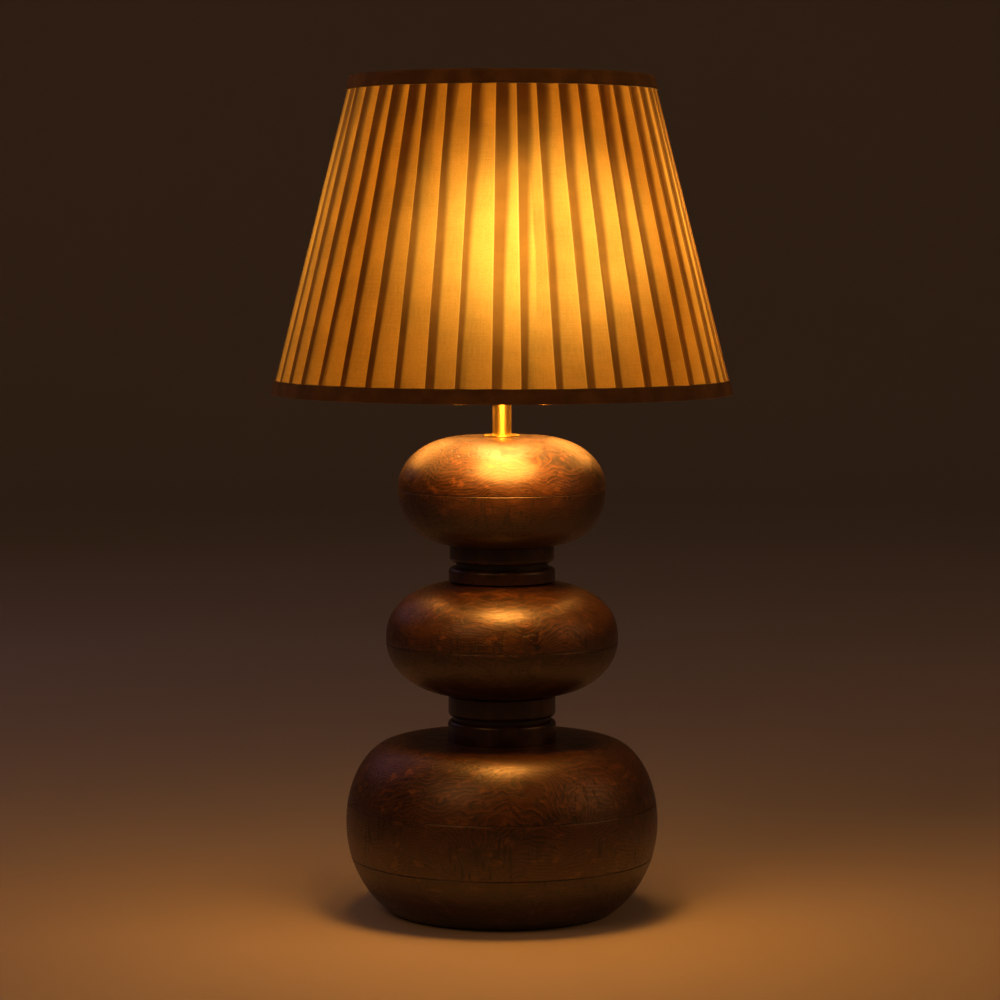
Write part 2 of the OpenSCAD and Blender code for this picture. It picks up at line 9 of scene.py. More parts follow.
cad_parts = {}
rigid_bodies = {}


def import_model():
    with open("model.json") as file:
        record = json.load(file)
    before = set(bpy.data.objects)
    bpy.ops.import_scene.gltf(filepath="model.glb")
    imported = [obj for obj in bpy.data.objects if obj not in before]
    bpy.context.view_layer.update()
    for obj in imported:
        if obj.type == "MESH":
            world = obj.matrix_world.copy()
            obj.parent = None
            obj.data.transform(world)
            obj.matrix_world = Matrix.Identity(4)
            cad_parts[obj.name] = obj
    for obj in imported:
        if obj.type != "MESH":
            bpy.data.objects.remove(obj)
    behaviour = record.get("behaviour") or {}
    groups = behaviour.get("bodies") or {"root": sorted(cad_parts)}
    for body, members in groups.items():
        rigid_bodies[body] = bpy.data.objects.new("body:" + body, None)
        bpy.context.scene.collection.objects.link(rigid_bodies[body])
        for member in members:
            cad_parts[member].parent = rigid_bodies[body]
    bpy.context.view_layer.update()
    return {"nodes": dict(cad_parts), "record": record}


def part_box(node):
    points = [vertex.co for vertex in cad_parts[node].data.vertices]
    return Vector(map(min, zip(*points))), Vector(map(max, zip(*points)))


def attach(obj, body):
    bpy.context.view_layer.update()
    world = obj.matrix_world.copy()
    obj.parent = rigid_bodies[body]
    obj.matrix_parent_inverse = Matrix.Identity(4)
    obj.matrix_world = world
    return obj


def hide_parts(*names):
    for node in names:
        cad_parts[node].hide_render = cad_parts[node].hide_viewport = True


# Looks of the table lamp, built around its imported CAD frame. Metres, +Z up, the front towards -Y.
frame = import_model()
NODES = frame["nodes"]
MM = 0.001
TURN = 2 * math.pi


# ---------- sizes, from the frame ----------

@functools.cache
def corners(node):
    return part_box(node)


def low(node):
    return corners(node)[0]


def high(node):
    return corners(node)[1]


def wide(node):
    """Radius of a turned node."""
    return high(node).x


def mix(a, b, t):
    return a + (b - a) * t


def smooth(t):
    t = min(max(t, 0.0), 1.0)
    return t * t * (3 - 2 * t)


FELT_TOP = high("felt_pad").z
BORE_R = wide("threaded_rod") + 0.3 * MM
BULB_Z = high("bulb_glass").z - wide("bulb_glass")

SHADE_LOW_Z = low("bottom_trim").z
SHADE_TOP_Z = high("top_trim").z
SHADE_LOW_R = wide("bottom_trim")
TRIM_H = high("bottom_trim").z - SHADE_LOW_Z
SHADE_HIGH_R = wide("top_trim") - (wide("bottom_trim") - wide("top_trim")) * TRIM_H / (
    SHADE_TOP_Z - SHADE_LOW_Z - TRIM_H)
CLOTH_IN = 1.4 * MM          # from the trim's face to the outermost folds
RING_WIRE_R = 1.6 * MM       # the rings' wire
BACK = math.pi / 2           # where joints and laps of the shade lie


def shade_radius(z):
    """Outer radius of the shade, over its trim, at height z."""
    return mix(SHADE_LOW_R, SHADE_HIGH_R, (z - SHADE_LOW_Z) / (SHADE_TOP_Z - SHADE_LOW_Z))


# ---------- meshes ----------

def make_piece(name, points, faces, material, body, node, shade_angle):
    """A mesh that rides on body in place of a CAD node. Edges sharper than shade_angle degrees stay hard."""
    mesh = bpy.data.meshes.new(name)
    mesh.from_pydata(points, [], faces)
    mesh.materials.append(material)
    mesh.validate()
    piece = bpy.data.objects.new(name, mesh)
    bpy.context.scene.collection.objects.link(piece)
    mesh.shade_smooth()
    mesh.set_sharp_from_angle(angle=math.radians(shade_angle))
    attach(piece, body)
    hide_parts(node)
    return piece


def grid_faces(rows, columns, wrap_rows, wrap_columns):
    """Quads between rows of points, each row one after the other."""
    faces = []
    for j in range(rows if wrap_rows else rows - 1):
        for i in range(columns if wrap_columns else columns - 1):
            a, b = j * columns, (j + 1) % rows * columns
            k = (i + 1) % columns
            faces.append((a + i, a + k, b + k, b + i))
    return faces


def lathe(outline, segments=160, closed=True, shift=None):
    """Points and faces of a ring turned about +Z. shift(angle, r, z) may move a point of the surface."""
    points = []
    for r, z in outline:
        for i in range(segments):
            angle = TURN * i / segments
            r1, z1 = shift(angle, r, z) if shift else (r, z)
            points.append((r1 * math.cos(angle), r1 * math.sin(angle), z1))
    return points, grid_faces(len(outline), segments, closed, True)


def arc(r, z, radius, start, end, steps):
    """Outline points round the centre (r, z), from start to end degrees."""
    angles = [math.radians(mix(start, end, i / steps)) for i in range(steps + 1)]
    return [(r + radius * math.cos(a), z + radius * math.sin(a)) for a in angles]


def sweep(path, radius, sides=16):
    """A round wire along path, with flat ends. radius is a number or a function of the share of the path."""
    points = []
    side = Vector((0, 1, 0))
    for i, p in enumerate(path):
        run = (path[min(i + 1, len(path) - 1)] - path[max(i - 1, 0)]).normalized()
        side = (side - run * side.dot(run)).normalized()
        up = run.cross(side)
        r = radius(i / (len(path) - 1)) if callable(radius) else radius
        for s in range(sides):
            a = TURN * s / sides
            points.append(p + (side * math.cos(a) + up * math.sin(a)) * r)
    faces = grid_faces(len(path), sides, False, True)
    last = (len(path) - 1) * sides
    faces.append(tuple(range(sides - 1, -1, -1)))
    faces.append(tuple(last + s for s in range(sides)))
    return points, faces


def joined(parts):
    """Several (points, faces) as one."""
    points, faces = [], []
    for p, f in parts:
        faces += [tuple(i + len(points) for i in face) for face in f]
        points += p
    return points, faces


def cut(piece, points, faces):
    """Cuts a closed shape out of a piece."""
    mesh = bpy.data.meshes.new("cutter")
    mesh.from_pydata(points, [], faces)
    cutter = bpy.data.objects.new("cutter", mesh)
    bpy.context.scene.collection.objects.link(cutter)
    boolean = piece.modifiers.new("cut", "BOOLEAN")
    boolean.object = cutter
    boolean.solver = "EXACT"
    bpy.context.view_layer.update()
    evaluated = piece.evaluated_get(bpy.context.evaluated_depsgraph_get())
    solid = bpy.data.meshes.new_from_object(evaluated)
    piece.modifiers.clear()
    piece.data = solid
    bpy.data.objects.remove(cutter)


# ---------- materials ----------

class Shader:
    """A node material, filled by calls that return sockets."""

    def __init__(self, name):
        self.material = bpy.data.materials.new(name)
        self.material.use_nodes = True
        self.tree = self.material.node_tree
        self.tree.nodes.clear()
        self.place = self.node("TexCoord", "Object")

    def feed(self, socket, value):
        """Links a socket or sets a plain value. A colour is given without its alpha."""
        if isinstance(value, bpy.types.NodeSocket):
            self.tree.links.new(value, socket)
        elif socket.type == "RGBA":
            socket.default_value = (*value, 1)
        else:
            socket.default_value = value

    def node(self, kind, output, settings=None, **inputs):
        """Adds a shader node. Inputs are named as on the node, with _ for a space."""
        made = self.tree.nodes.new("ShaderNode" + kind)
        for key, value in (settings or {}).items():
            setattr(made, key, value)
        for key, value in inputs.items():
            self.feed(made.inputs[key.replace("_", " ")], value)
        return made.outputs[output]

    def math(self, operation, *values):
        made = self.tree.nodes.new("ShaderNodeMath")
        made.operation = operation
        for socket, value in zip(made.inputs, values):
            self.feed(socket, value)
        return made.outputs[0]

    def vector(self, operation, *values, output=0):
        made = self.tree.nodes.new("ShaderNodeVectorMath")
        made.operation = operation
        for socket, value in zip(made.inputs, values):
            self.feed(socket, value)
        return made.outputs[output]

    def mix(self, factor, a, b):
        """Colour a where factor is 0 and b where it is 1. The colour sockets are numbers 6, 7 and 2."""
        made = self.tree.nodes.new("ShaderNodeMix")
        made.data_type = "RGBA"
        for index, value in ((0, factor), (6, a), (7, b)):
            self.feed(made.inputs[index], value)
        return made.outputs[2]

    def noise(self, scale, detail=2.0, stretch=(1, 1, 1), at=None, output="Fac"):
        """Noise of scale features to the metre, drawn out along the axes whose stretch is small."""
        spot = self.vector("MULTIPLY", at or self.place, tuple(scale * s for s in stretch))
        return self.node("TexNoise", output, Vector=spot, Scale=1.0, Detail=detail, Roughness=0.55)

    def band(self, value, start, end, out_start=0.0, out_end=1.0):
        """A smooth step of value from start to end."""
        made = self.tree.nodes.new("ShaderNodeMapRange")
        made.interpolation_type = "SMOOTHSTEP"
        for socket, given in zip(made.inputs, (value, start, end, out_start, out_end)):
            self.feed(socket, given)
        return made.outputs[0]

    def bump(self, height, distance, strength=1.0, normal=None):
        inputs = {"Normal": normal} if normal else {}
        return self.node("Bump", 0, Height=height, Distance=distance, Strength=strength, **inputs)

    def principled(self, **inputs):
        return self.node("BsdfPrincipled", 0, **inputs)

    def finish(self, shader):
        out = self.tree.nodes.new("ShaderNodeOutputMaterial")
        self.tree.links.new(shader, out.inputs["Surface"])
        return self.material


def walnut(name, seams, knots, shift):
    """Oiled walnut, glued up from level boards.

    seams are the glue lines' heights. A knot is (azimuth from the front in degrees, height, distance from
    the axis, size). shift moves the grain, so that no two beads share a figure. Colours are linear.
    """
    ring_gap = 3.4 * MM
    lowest_board_painted_shade = 0.58
    s = Shader(name)
    z = s.node("SeparateXYZ", 2, Vector=s.place)
    board = s.math("ADD", *[s.math("GREATER_THAN", z, seam) for seam in (seams * 2)[:2]])
    move = s.vector("SCALE", (0.31, 0.47, 0.083))
    s.feed(move.node.inputs["Scale"], board)
    grain = s.vector("ADD", s.vector("ADD", s.place, shift), move)
    # Growth rings round a level heart that runs left to right, bent by slow waves and swollen at each knot.
    warp = s.vector("SUBTRACT", s.noise(8, 3, at=grain, output="Color"), (0.5, 0.5, 0.5))
    wave = s.vector("SUBTRACT", s.noise(45, 2, at=grain, output="Color"), (0.5, 0.5, 0.5))
    bent = s.vector("ADD", s.place, s.vector("MULTIPLY", warp, (0.09, 0.09, 0.09)))
    bent = s.vector("ADD", bent, s.vector("MULTIPLY", wave, (0.010, 0.010, 0.010)))
    heart = s.vector("ADD", s.vector("MULTIPLY", bent, (0.12, 1, 1.25)), (0, 0.09, 0.03))
    ring = s.vector("LENGTH", heart, output=1)
    core = None
    for azimuth, height, radius, size in knots:
        a = math.radians(azimuth)
        centre = (radius * math.sin(a), -radius * math.cos(a), height)
        away = s.math("DIVIDE", s.vector("DISTANCE", s.place, centre, output=1), size)
        eye = s.math("POWER", 0.37, s.math("MULTIPLY", away, away))
        ring = s.math("MULTIPLY_ADD", eye, 1.6 * size, ring)
        dark = s.band(away, 0.10, 0.34, 1, 0)
        core = dark if core is None else s.math("MAXIMUM", core, dark)
    saw = s.math("FRACT", s.math("MULTIPLY_ADD", s.noise(120, 2, at=grain), 0.35,
                                 s.math("DIVIDE", ring, ring_gap)))
    late = s.math("MULTIPLY", s.band(saw, 0.35, 0.93), s.band(saw, 0.93, 1.0, 1, 0))
    figure = s.noise(17, 4, (0.6, 1, 1.5), at=grain)
    fibre = s.noise(420, 3, (0.09, 1, 1), at=bent)
    pore = s.band(s.noise(900, 1, (0.05, 1, 1), at=bent), 0.62, 0.70)
    fleck = s.band(s.noise(150, 3, (0.45, 1, 1), at=grain), 0.56, 0.70)
    colour = s.mix(s.band(figure, 0.36, 0.66), (0.015, 0.0061, 0.0017), (0.062, 0.0255, 0.0058))
    colour = s.mix(s.math("MULTIPLY", late, 0.80), colour, (0.008, 0.0030, 0.0010))
    early = s.math("MULTIPLY", s.band(saw, 0.0, 0.05), s.band(saw, 0.05, 0.30, 1, 0))
    colour = s.mix(s.math("MULTIPLY", early, 0.70), colour, (0.13, 0.050, 0.011))
    colour = s.mix(s.band(fibre, 0.40, 0.72, 0, 0.60), colour, (0.095, 0.038, 0.008))
    colour = s.mix(s.math("MULTIPLY", fleck, 0.65), colour, (0.17, 0.070, 0.016))
    colour = s.mix(s.math("MULTIPLY", pore, 0.75), colour, (0.010, 0.004, 0.002))
    colour = s.mix(core, colour, (0.006, 0.003, 0.002))
    # Painted shade: each bead's lowest board, below its lowest glue line, is drawn darker, part of the way
    # to near black.
    lowest = s.math("MINIMUM", board, 1.0)
    shade = s.math("MULTIPLY_ADD", lowest, 1 - lowest_board_painted_shade, lowest_board_painted_shade)
    colour = s.mix(shade, (0.004, 0.0017, 0.0008), colour)
    for seam in seams:
        line = s.band(s.math("ABSOLUTE", s.math("SUBTRACT", z, seam)), 0.25 * MM, 0.7 * MM, 0.55, 0)
        colour = s.mix(line, colour, (0.010, 0.004, 0.002))
    # Short streaks in patches, as curly grain has them.
    wear = s.noise(60, 5, at=grain)
    patch = s.band(s.noise(16, 2, at=grain), 0.44, 0.58)
    ripple = s.math("MULTIPLY", s.band(s.noise(330, 2, (1, 1, 0.16), at=grain), 0.54, 0.66), patch)
    colour = s.mix(s.math("MULTIPLY", ripple, 0.85), colour, (0.008, 0.0032, 0.0012))
    relief = s.math("MULTIPLY_ADD", pore, -0.35, s.math("MULTIPLY", wear, 0.9))
    relief = s.math("MULTIPLY_ADD", ripple, -0.75, relief)
    relief = s.math("MULTIPLY_ADD", core, -0.9, relief)
    relief = s.math("MULTIPLY_ADD", fibre, 0.6, relief)
    relief = s.math("MULTIPLY_ADD", s.noise(300, 3, at=grain), 0.35, relief)
    rough = s.math("MULTIPLY_ADD", wear, 0.26, s.math("MULTIPLY_ADD", ripple, 0.14, 0.17))
    rough = s.math("MULTIPLY_ADD", late, 0.10, s.math("MULTIPLY_ADD", fibre, 0.14, rough))
    return s.finish(s.principled(
        Base_Color=colour, Roughness=rough, Normal=s.bump(relief, 0.24 * MM, 0.9), IOR=1.5,
        Specular_IOR_Level=0.65, Coat_Weight=0.35, Coat_Roughness=0.34))


def stained_wood(name, light, dark, roughness):
    """Near-black turned wood with a faint mottle, turning lines and fine upright checks."""
    s = Shader(name)
    mottle = s.noise(70, 4, (1, 1, 0.7))
    lines = s.noise(900, 2, (0.02, 0.02, 1))
    check = s.band(s.noise(160, 2, (1, 1, 0.06)), 0.70, 0.74)
    colour = s.mix(s.band(mottle, 0.38, 0.68), dark, light)
    colour = s.mix(s.math("MULTIPLY", check, 0.8), colour, (0.002, 0.001, 0.001))
    relief = s.math("MULTIPLY_ADD", check, -2.0, s.math("ADD", mottle, s.math("MULTIPLY", lines, 0.5)))
    rough = s.math("MULTIPLY_ADD", mottle, 0.25, roughness - 0.12)
    return s.finish(s.principled(
        Base_Color=colour, Roughness=rough, Normal=s.bump(relief, 0.16 * MM, 0.9),
        Specular_IOR_Level=0.6, Coat_Weight=0.3, Coat_Roughness=0.25))


def metal(name, light, dark, roughness, stretch=(1, 1, 0.05), scratch=0.2):
    """Worked metal: drawing lines along stretch's small axis, a thin tarnish and finger marks."""
    s = Shader(name)
    lines = s.noise(2600, 2, stretch)
    tarnish = s.noise(90, 5)
    colour = s.mix(s.band(tarnish, 0.40, 0.72), light, dark)
    rough = s.math("MULTIPLY_ADD", tarnish, 0.16, s.math("MULTIPLY_ADD", lines, 0.08, roughness - 0.11))
    return s.finish(s.principled(
        Base_Color=colour, Metallic=1.0, Roughness=rough, Normal=s.bump(lines, 0.03 * MM, scratch)))


def moulded(name, light, dark, roughness, grain=1800, depth=0.05, coat=0.0):
    """Plastic, rubber or card: a fine grain, a slow change of tone and small specks."""
    s = Shader(name)
    tone = s.noise(60, 3)
    fine = s.noise(grain, 3)
    colour = s.mix(s.band(tone, 0.35, 0.7), dark, light)
    colour = s.mix(s.band(fine, 0.62, 0.78, 0, 0.5), colour, light)
    rough = s.math("MULTIPLY_ADD", tone, 0.2, roughness - 0.1)
    return s.finish(s.principled(
        Base_Color=colour, Roughness=rough, Normal=s.bump(fine, depth * MM, 0.6), Coat_Weight=coat,
        Coat_Roughness=0.12))


def pleat_cloth(name):
    """Gold silk-like cloth, lit from inside. Where a pleat lays three layers on each other its colour is
    painted darker, as painted shade, and a thin painted highlight runs beside each fold.
    """
    s = Shader(name)
    cloth = s.node("UVMap", 0, {"uv_map": "cloth"})
    painted_layer_shade = s.node("Attribute", "Fac", {"attribute_name": "painted_layer_shade"})
    painted_fold_highlight = s.node("Attribute", "Fac", {"attribute_name": "painted_fold_highlight"})
    warp_yarn = s.noise(2400, 2, (1, 0.03, 1), at=cloth)
    weft_yarn = s.noise(2000, 2, (0.04, 1, 1), at=cloth)
    slub = s.noise(90, 3, (1, 0.16, 1), at=cloth)
    mottle = s.noise(38, 4, at=cloth)
    weave = s.math("ADD", warp_yarn, weft_yarn)
    thin = s.mix(s.band(mottle, 0.30, 0.72), (0.74, 0.475, 0.040), (0.95, 0.63, 0.065))
    thin = s.mix(s.band(slub, 0.42, 0.74, 0, 0.35), thin, (0.56, 0.32, 0.022))
    thin = s.mix(s.band(weave, 0.88, 1.18, 0, 0.45), thin, (1.0, 0.72, 0.12))
    grit = s.band(s.noise(1100, 2, at=cloth), 0.46, 0.70)
    thin = s.mix(s.math("MULTIPLY", grit, 0.40), thin, (0.60, 0.34, 0.025))
    # Painted highlight: a light line beside each fold.
    thin = s.mix(s.math("MULTIPLY", painted_fold_highlight, 0.8), thin, (1.0, 0.74, 0.16))
    # Painted shade: where three layers lie on each other the cloth's colour is much darker.
    painted_overlap_shade = s.mix(s.band(mottle, 0.35, 0.7), (0.185, 0.075, 0.006), (0.265, 0.112, 0.009))
    through = s.mix(painted_layer_shade, thin, painted_overlap_shade)
    normal = s.bump(s.math("MULTIPLY_ADD", slub, 2.0, weave), 0.10 * MM, 0.6)
    face = s.principled(
        Base_Color=through, Roughness=0.70, Normal=normal, Transmission_Weight=0.48, IOR=1.6,
        Specular_IOR_Level=0.15, Sheen_Weight=0.08, Sheen_Roughness=0.4)
    glow = s.node("BsdfTranslucent", 0, Color=through, Normal=normal)
    return s.finish(join_shaders(s, 0.05, face, glow))


def join_shaders(s, factor, a, b):
    """Shader a with factor of shader b in it."""
    made = s.tree.nodes.new("ShaderNodeMixShader")
    for socket, value in zip(made.inputs, (factor, a, b)):
        s.feed(socket, value)
    return made.outputs[0]


def ribbed_tape(name):
    """Dark brown tape with fine upright ribs; a little of the light inside comes through."""
    s = Shader(name)
    cloth = s.node("UVMap", 0, {"uv_map": "cloth"})
    rib = s.node("TexWave", "Fac", {"wave_type": "BANDS", "bands_direction": "X"},
                 Vector=cloth, Scale=300.0, Distortion=1.2, Detail=2.0, Detail_Scale=3.0)
    mottle = s.noise(45, 4, at=cloth)
    fuzz = s.noise(1500, 3, at=cloth)
    colour = s.mix(s.band(mottle, 0.35, 0.7), (0.060, 0.030, 0.009), (0.15, 0.078, 0.023))
    colour = s.mix(s.math("MULTIPLY", rib, 0.30), colour, (0.21, 0.10, 0.030))
    colour = s.mix(s.band(fuzz, 0.55, 0.75, 0, 0.4), colour, (0.27, 0.14, 0.045))
    normal = s.bump(s.math("MULTIPLY_ADD", fuzz, 0.6, rib), 0.12 * MM, 0.7)
    face = s.principled(Base_Color=colour, Roughness=0.85, Normal=normal, Sheen_Weight=0.2)
    glow = s.node("BsdfTranslucent", 0, Color=colour, Normal=normal)
    return s.finish(join_shaders(s, 0.08, face, glow))


def felt_material(name):
    """Dark green pressed felt with loose hairs and clumps."""
    s = Shader(name)
    hair = s.noise(1400, 4, (1, 1, 0.4))
    clump = s.noise(160, 3)
    colour = s.mix(s.band(clump, 0.35, 0.7), (0.020, 0.030, 0.016), (0.060, 0.080, 0.045))
    colour = s.mix(s.band(hair, 0.50, 0.75, 0, 0.6), colour, (0.11, 0.13, 0.08))
    relief = s.math("ADD", hair, clump)
    return s.finish(s.principled(
        Base_Color=colour, Roughness=0.95, Normal=s.bump(relief, 0.35 * MM, 0.9), Sheen_Weight=0.35))


def frosted_bulb(name):
    """White glass with the filament's light spread over it, brightest at the ball."""
    s = Shader(name)
    z = s.node("SeparateXYZ", 2, Vector=s.place)
    frost = s.noise(500, 3)
    ball = s.band(s.math("ABSOLUTE", s.math("SUBTRACT", z, BULB_Z)), 0.006, 0.045, 1, 0.25)
    glow = s.math("MULTIPLY", s.math("MULTIPLY_ADD", frost, 0.2, 0.9), s.math("MULTIPLY", ball, 5.0))
    return s.finish(s.principled(
        Base_Color=(0.92, 0.86, 0.74), Roughness=0.35, Emission_Color=(1.0, 0.66, 0.24),
        Emission_Strength=glow, Normal=s.bump(frost, 0.02 * MM, 0.4)))


def clear_glass(name):
    """Clear glass with slow waves in it, for the bulb's stem."""
    s = Shader(name)
    waves = s.noise(220, 2)
    tint = s.mix(waves, (0.90, 0.95, 0.93), (0.98, 1.0, 0.99))
    return s.finish(s.principled(
        Base_Color=tint, Roughness=0.04, Transmission_Weight=0.9, IOR=1.5,
        Normal=s.bump(waves, 0.05 * MM, 0.3)))


def hot_wire(name):
    """Glowing tungsten."""
    s = Shader(name)
    grain = s.noise(3000, 2)
    colour = s.mix(grain, (1.0, 0.45, 0.10), (1.0, 0.66, 0.26))
    return s.finish(s.principled(
        Base_Color=(0.55, 0.52, 0.48), Metallic=1.0, Roughness=0.4, Emission_Color=colour,
        Emission_Strength=12.0, Normal=s.bump(grain, 0.02 * MM, 0.5)))


def liner_sheet(name):
    """White styrene behind the pleats, rolled and a little cloudy."""
    s = Shader(name)
    cloud = s.noise(30, 4)
    fine = s.noise(1200, 2)
    colour = s.mix(s.band(cloud, 0.35, 0.7), (0.70, 0.56, 0.36), (0.82, 0.68, 0.46))
    normal = s.bump(s.math("MULTIPLY_ADD", fine, 0.3, cloud), 0.10 * MM, 0.5)
    face = s.principled(Base_Color=colour, Roughness=0.5, Normal=normal)
    glow = s.node("BsdfTranslucent", 0, Color=colour, Normal=normal)
    return s.finish(join_shaders(s, 0.10, face, glow))


MATERIALS = {
    "brass": metal("brass", (1.0, 0.76, 0.20), (0.90, 0.60, 0.14), 0.33),
    "zinc": metal("zinc", (0.66, 0.67, 0.66), (0.44, 0.45, 0.46), 0.36),
    "thread_metal": metal("thread_metal", (0.84, 0.84, 0.83), (0.62, 0.62, 0.60), 0.26, (0.05, 0.05, 1)),
    "contact": metal("contact", (0.80, 0.48, 0.27), (0.55, 0.30, 0.16), 0.34),
    "collar_wood": stained_wood("collar_wood", (0.060, 0.0220, 0.0080), (0.0180, 0.0070, 0.0032), 0.38),
    "spacer_wood": stained_wood("spacer_wood", (0.010, 0.006, 0.005), (0.004, 0.0025, 0.002), 0.5),
    "felt": felt_material("felt"),
    "grommet_rubber": moulded("grommet_rubber", (0.030, 0.029, 0.028), (0.014, 0.013, 0.013), 0.62),
    "phenolic": moulded("phenolic", (0.065, 0.036, 0.026), (0.030, 0.017, 0.013), 0.42, 900),
    "knob": moulded("knob", (0.026, 0.022, 0.019), (0.012, 0.010, 0.009), 0.28, 1600, 0.02, 0.5),
    "card": moulded("card", (0.50, 0.37, 0.22), (0.36, 0.25, 0.14), 0.85, 700, 0.12),
    "vitrite": moulded("vitrite", (0.022, 0.020, 0.030), (0.010, 0.009, 0.014), 0.18, 600, 0.01, 1.0),
    "bulb_white": frosted_bulb("bulb_white"),
    "bulb_clear": clear_glass("bulb_clear"),
    "tungsten": hot_wire("tungsten"),
    "pleats": pleat_cloth("pleats"),
    "trim": ribbed_tape("trim"),
    "liner": liner_sheet("liner"),
}
# Knots and glue lines follow the photo in kind and place. walnut() says what the numbers are.
KNOTS = {
    "base_bead": [(-9, 0.066, 0.119, 0.017), (27, 0.088, 0.117, 0.012), (62, 0.094, 0.115, 0.020),
                  (-112, 0.060, 0.119, 0.019), (150, 0.080, 0.118, 0.016), (-160, 0.104, 0.108, 0.022)],
    "middle_bead": [(-38, 0.238, 0.077, 0.012), (17, 0.214, 0.089, 0.010), (96, 0.226, 0.086, 0.016),
                    (-140, 0.200, 0.087, 0.017)],
    "top_bead": [(-64, 0.342, 0.076, 0.010), (-12, 0.356, 0.060, 0.009), (70, 0.338, 0.078, 0.015),
                 (165, 0.326, 0.079, 0.016)],
}
SEAMS = {"base_bead": [0.0432, 0.0852], "middle_bead": [0.2087], "top_bead": [0.3257]}
BEADS = [walnut("walnut_" + node.split("_")[0], SEAMS[node], KNOTS[node], shift) for node, shift in
         (("base_bead", (0.0, 0.0, 0.0)), ("middle_bead", (0.7, 0.2, 0.4)), ("top_bead", (0.2, 0.9, 0.1)))]


# ---------- the body: beads, collars and spacers ----------

def quarter(seat_r, wide_r, wide_z, seat_z, full=2.0, last=90.0, steps=60):
    """Half of a bead's outline, from its widest line to its seat, as a quarter of a rounded oval.

    full is 2 for an ellipse and more for a squarer curve. last is the angle in degrees where it ends.
    """
    angles = [math.radians(last * i / steps) for i in range(steps + 1)]
    return [(seat_r + (wide_r - seat_r) * math.cos(a) ** (2 / full),
             wide_z + (seat_z - wide_z) * math.sin(a) ** (2 / full)) for a in angles]


def with_seams(outline, seams):
    """The outline with a fine V cut into it at each seam's height."""
    half, depth = 0.45 * MM, 0.35 * MM
    done = []
    for (r0, z0), (r1, z1) in zip(outline, outline[1:]):
        done.append((r0, z0))
        for seam in seams:
            if min(z0, z1) < seam < max(z0, z1):
                r = mix(r0, r1, (seam - z0) / (z1 - z0))
                up = 1 if z1 > z0 else -1
                done += [(r, seam - up * half), (r - depth, seam), (r, seam + up * half)]
    done = [p for p in done if all(abs(p[1] - s) < 1e-6 or abs(p[1] - s) >= half * 0.99 for s in seams)]
    return done + [outline[-1]]


def hand_turned(seed):
    """Tiny waves that a hand-finished turning has."""
    def shift(angle, r, z):
        spot = Vector((r * math.cos(angle) * 22, r * math.sin(angle) * 22, z * 22 + seed))
        near = Vector((r * math.cos(angle) * 90, r * math.sin(angle) * 90, z * 90 + seed))
        return r + 0.22 * MM * noise.noise(spot) + 0.05 * MM * noise.noise(near), z
    return shift


def bead(node, material, low_curve, high_curve, inside, seed):
    """A turned bead from its two quarter curves, which both start at the widest line."""
    outline = list(reversed(low_curve)) + high_curve[1:]
    outline = with_seams(outline, SEAMS[node]) + inside
    points, faces = lathe(outline, 256, True, hand_turned(seed))
    return make_piece("turned_" + node, points, faces, material, "stand", node, 50)


def base_bead():
    """The large bead: its oval runs on below the table and is cut flat at the felt."""
    wide_z, pole_z = 0.0694, -0.008
    pocket_r, pocket_z = 0.030, high("flat_washer").z
    r, top = wide("base_bead"), high("base_bead").z
    foot = math.degrees(math.asin((wide_z - FELT_TOP) / (wide_z - pole_z)))
    inside = [(BORE_R, top), (BORE_R, pocket_z), (pocket_r, pocket_z), (pocket_r, FELT_TOP)]
    low_flat_r, seat_r = 0.057, 0.080
    piece = bead("base_bead", BEADS[0], quarter(low_flat_r, r, wide_z, pole_z, 2, foot),
                 quarter(seat_r, r, wide_z, top), inside, 3.1)
    inlet_z = (low("cord_grommet").z + high("cord_grommet").z) / 2
    flange_r = (high("cord_grommet").z - low("cord_grommet").z) / 2 + 0.4 * MM
    sleeve_r = 5.5 * MM
    floor_y = high("cord_grommet").y - 2.5 * MM
    for radius, y in ((sleeve_r, pocket_r - 0.004), (flange_r, floor_y)):
        cut(piece, *rod_y(radius, y, r + 0.01, inlet_z))
    return piece


def rod_y(radius, start, end, z, sides=64):
    """A round bar along +Y."""
    points = []
    for y in (start, end):
        for i in range(sides):
            a = TURN * i / sides
            points.append((radius * math.cos(a), y, z + radius * math.sin(a)))
    faces = [(i, (i + 1) % sides, sides + (i + 1) % sides, sides + i) for i in range(sides)]
    faces += [tuple(range(sides - 1, -1, -1)), tuple(range(sides, 2 * sides))]
    return points, faces


def collar(node, low_edge, high_edge):
    """A turned collar with rounded outer edges."""
    r, z0, z1 = wide(node), low(node).z, high(node).z
    outline = arc(r - low_edge, z0 + low_edge, low_edge, -90, 0, 10)
    outline += arc(r - high_edge, z1 - high_edge, high_edge, 0, 90, 10)
    outline += [(BORE_R, z1), (BORE_R, z0)]
    points, faces = lathe(outline, 192, True, hand_turned(r * 500))
    return make_piece("turned_" + node, points, faces, MATERIALS["collar_wood"], "stand", node,
                      50)


def spacer(node):
    """The plain disc in a groove between two collars."""
    r, z0, z1 = wide(node), low(node).z, high(node).z
    outline = [(r, mix(z0, z1, i / 6)) for i in range(7)] + [(BORE_R, z1), (BORE_R, z0)]
    points, faces = lathe(outline, 160, True, hand_turned(z0 * 100))
    return make_piece("turned_" + node, points, faces, MATERIALS["spacer_wood"], "stand", node,
                      50)


base_bead()
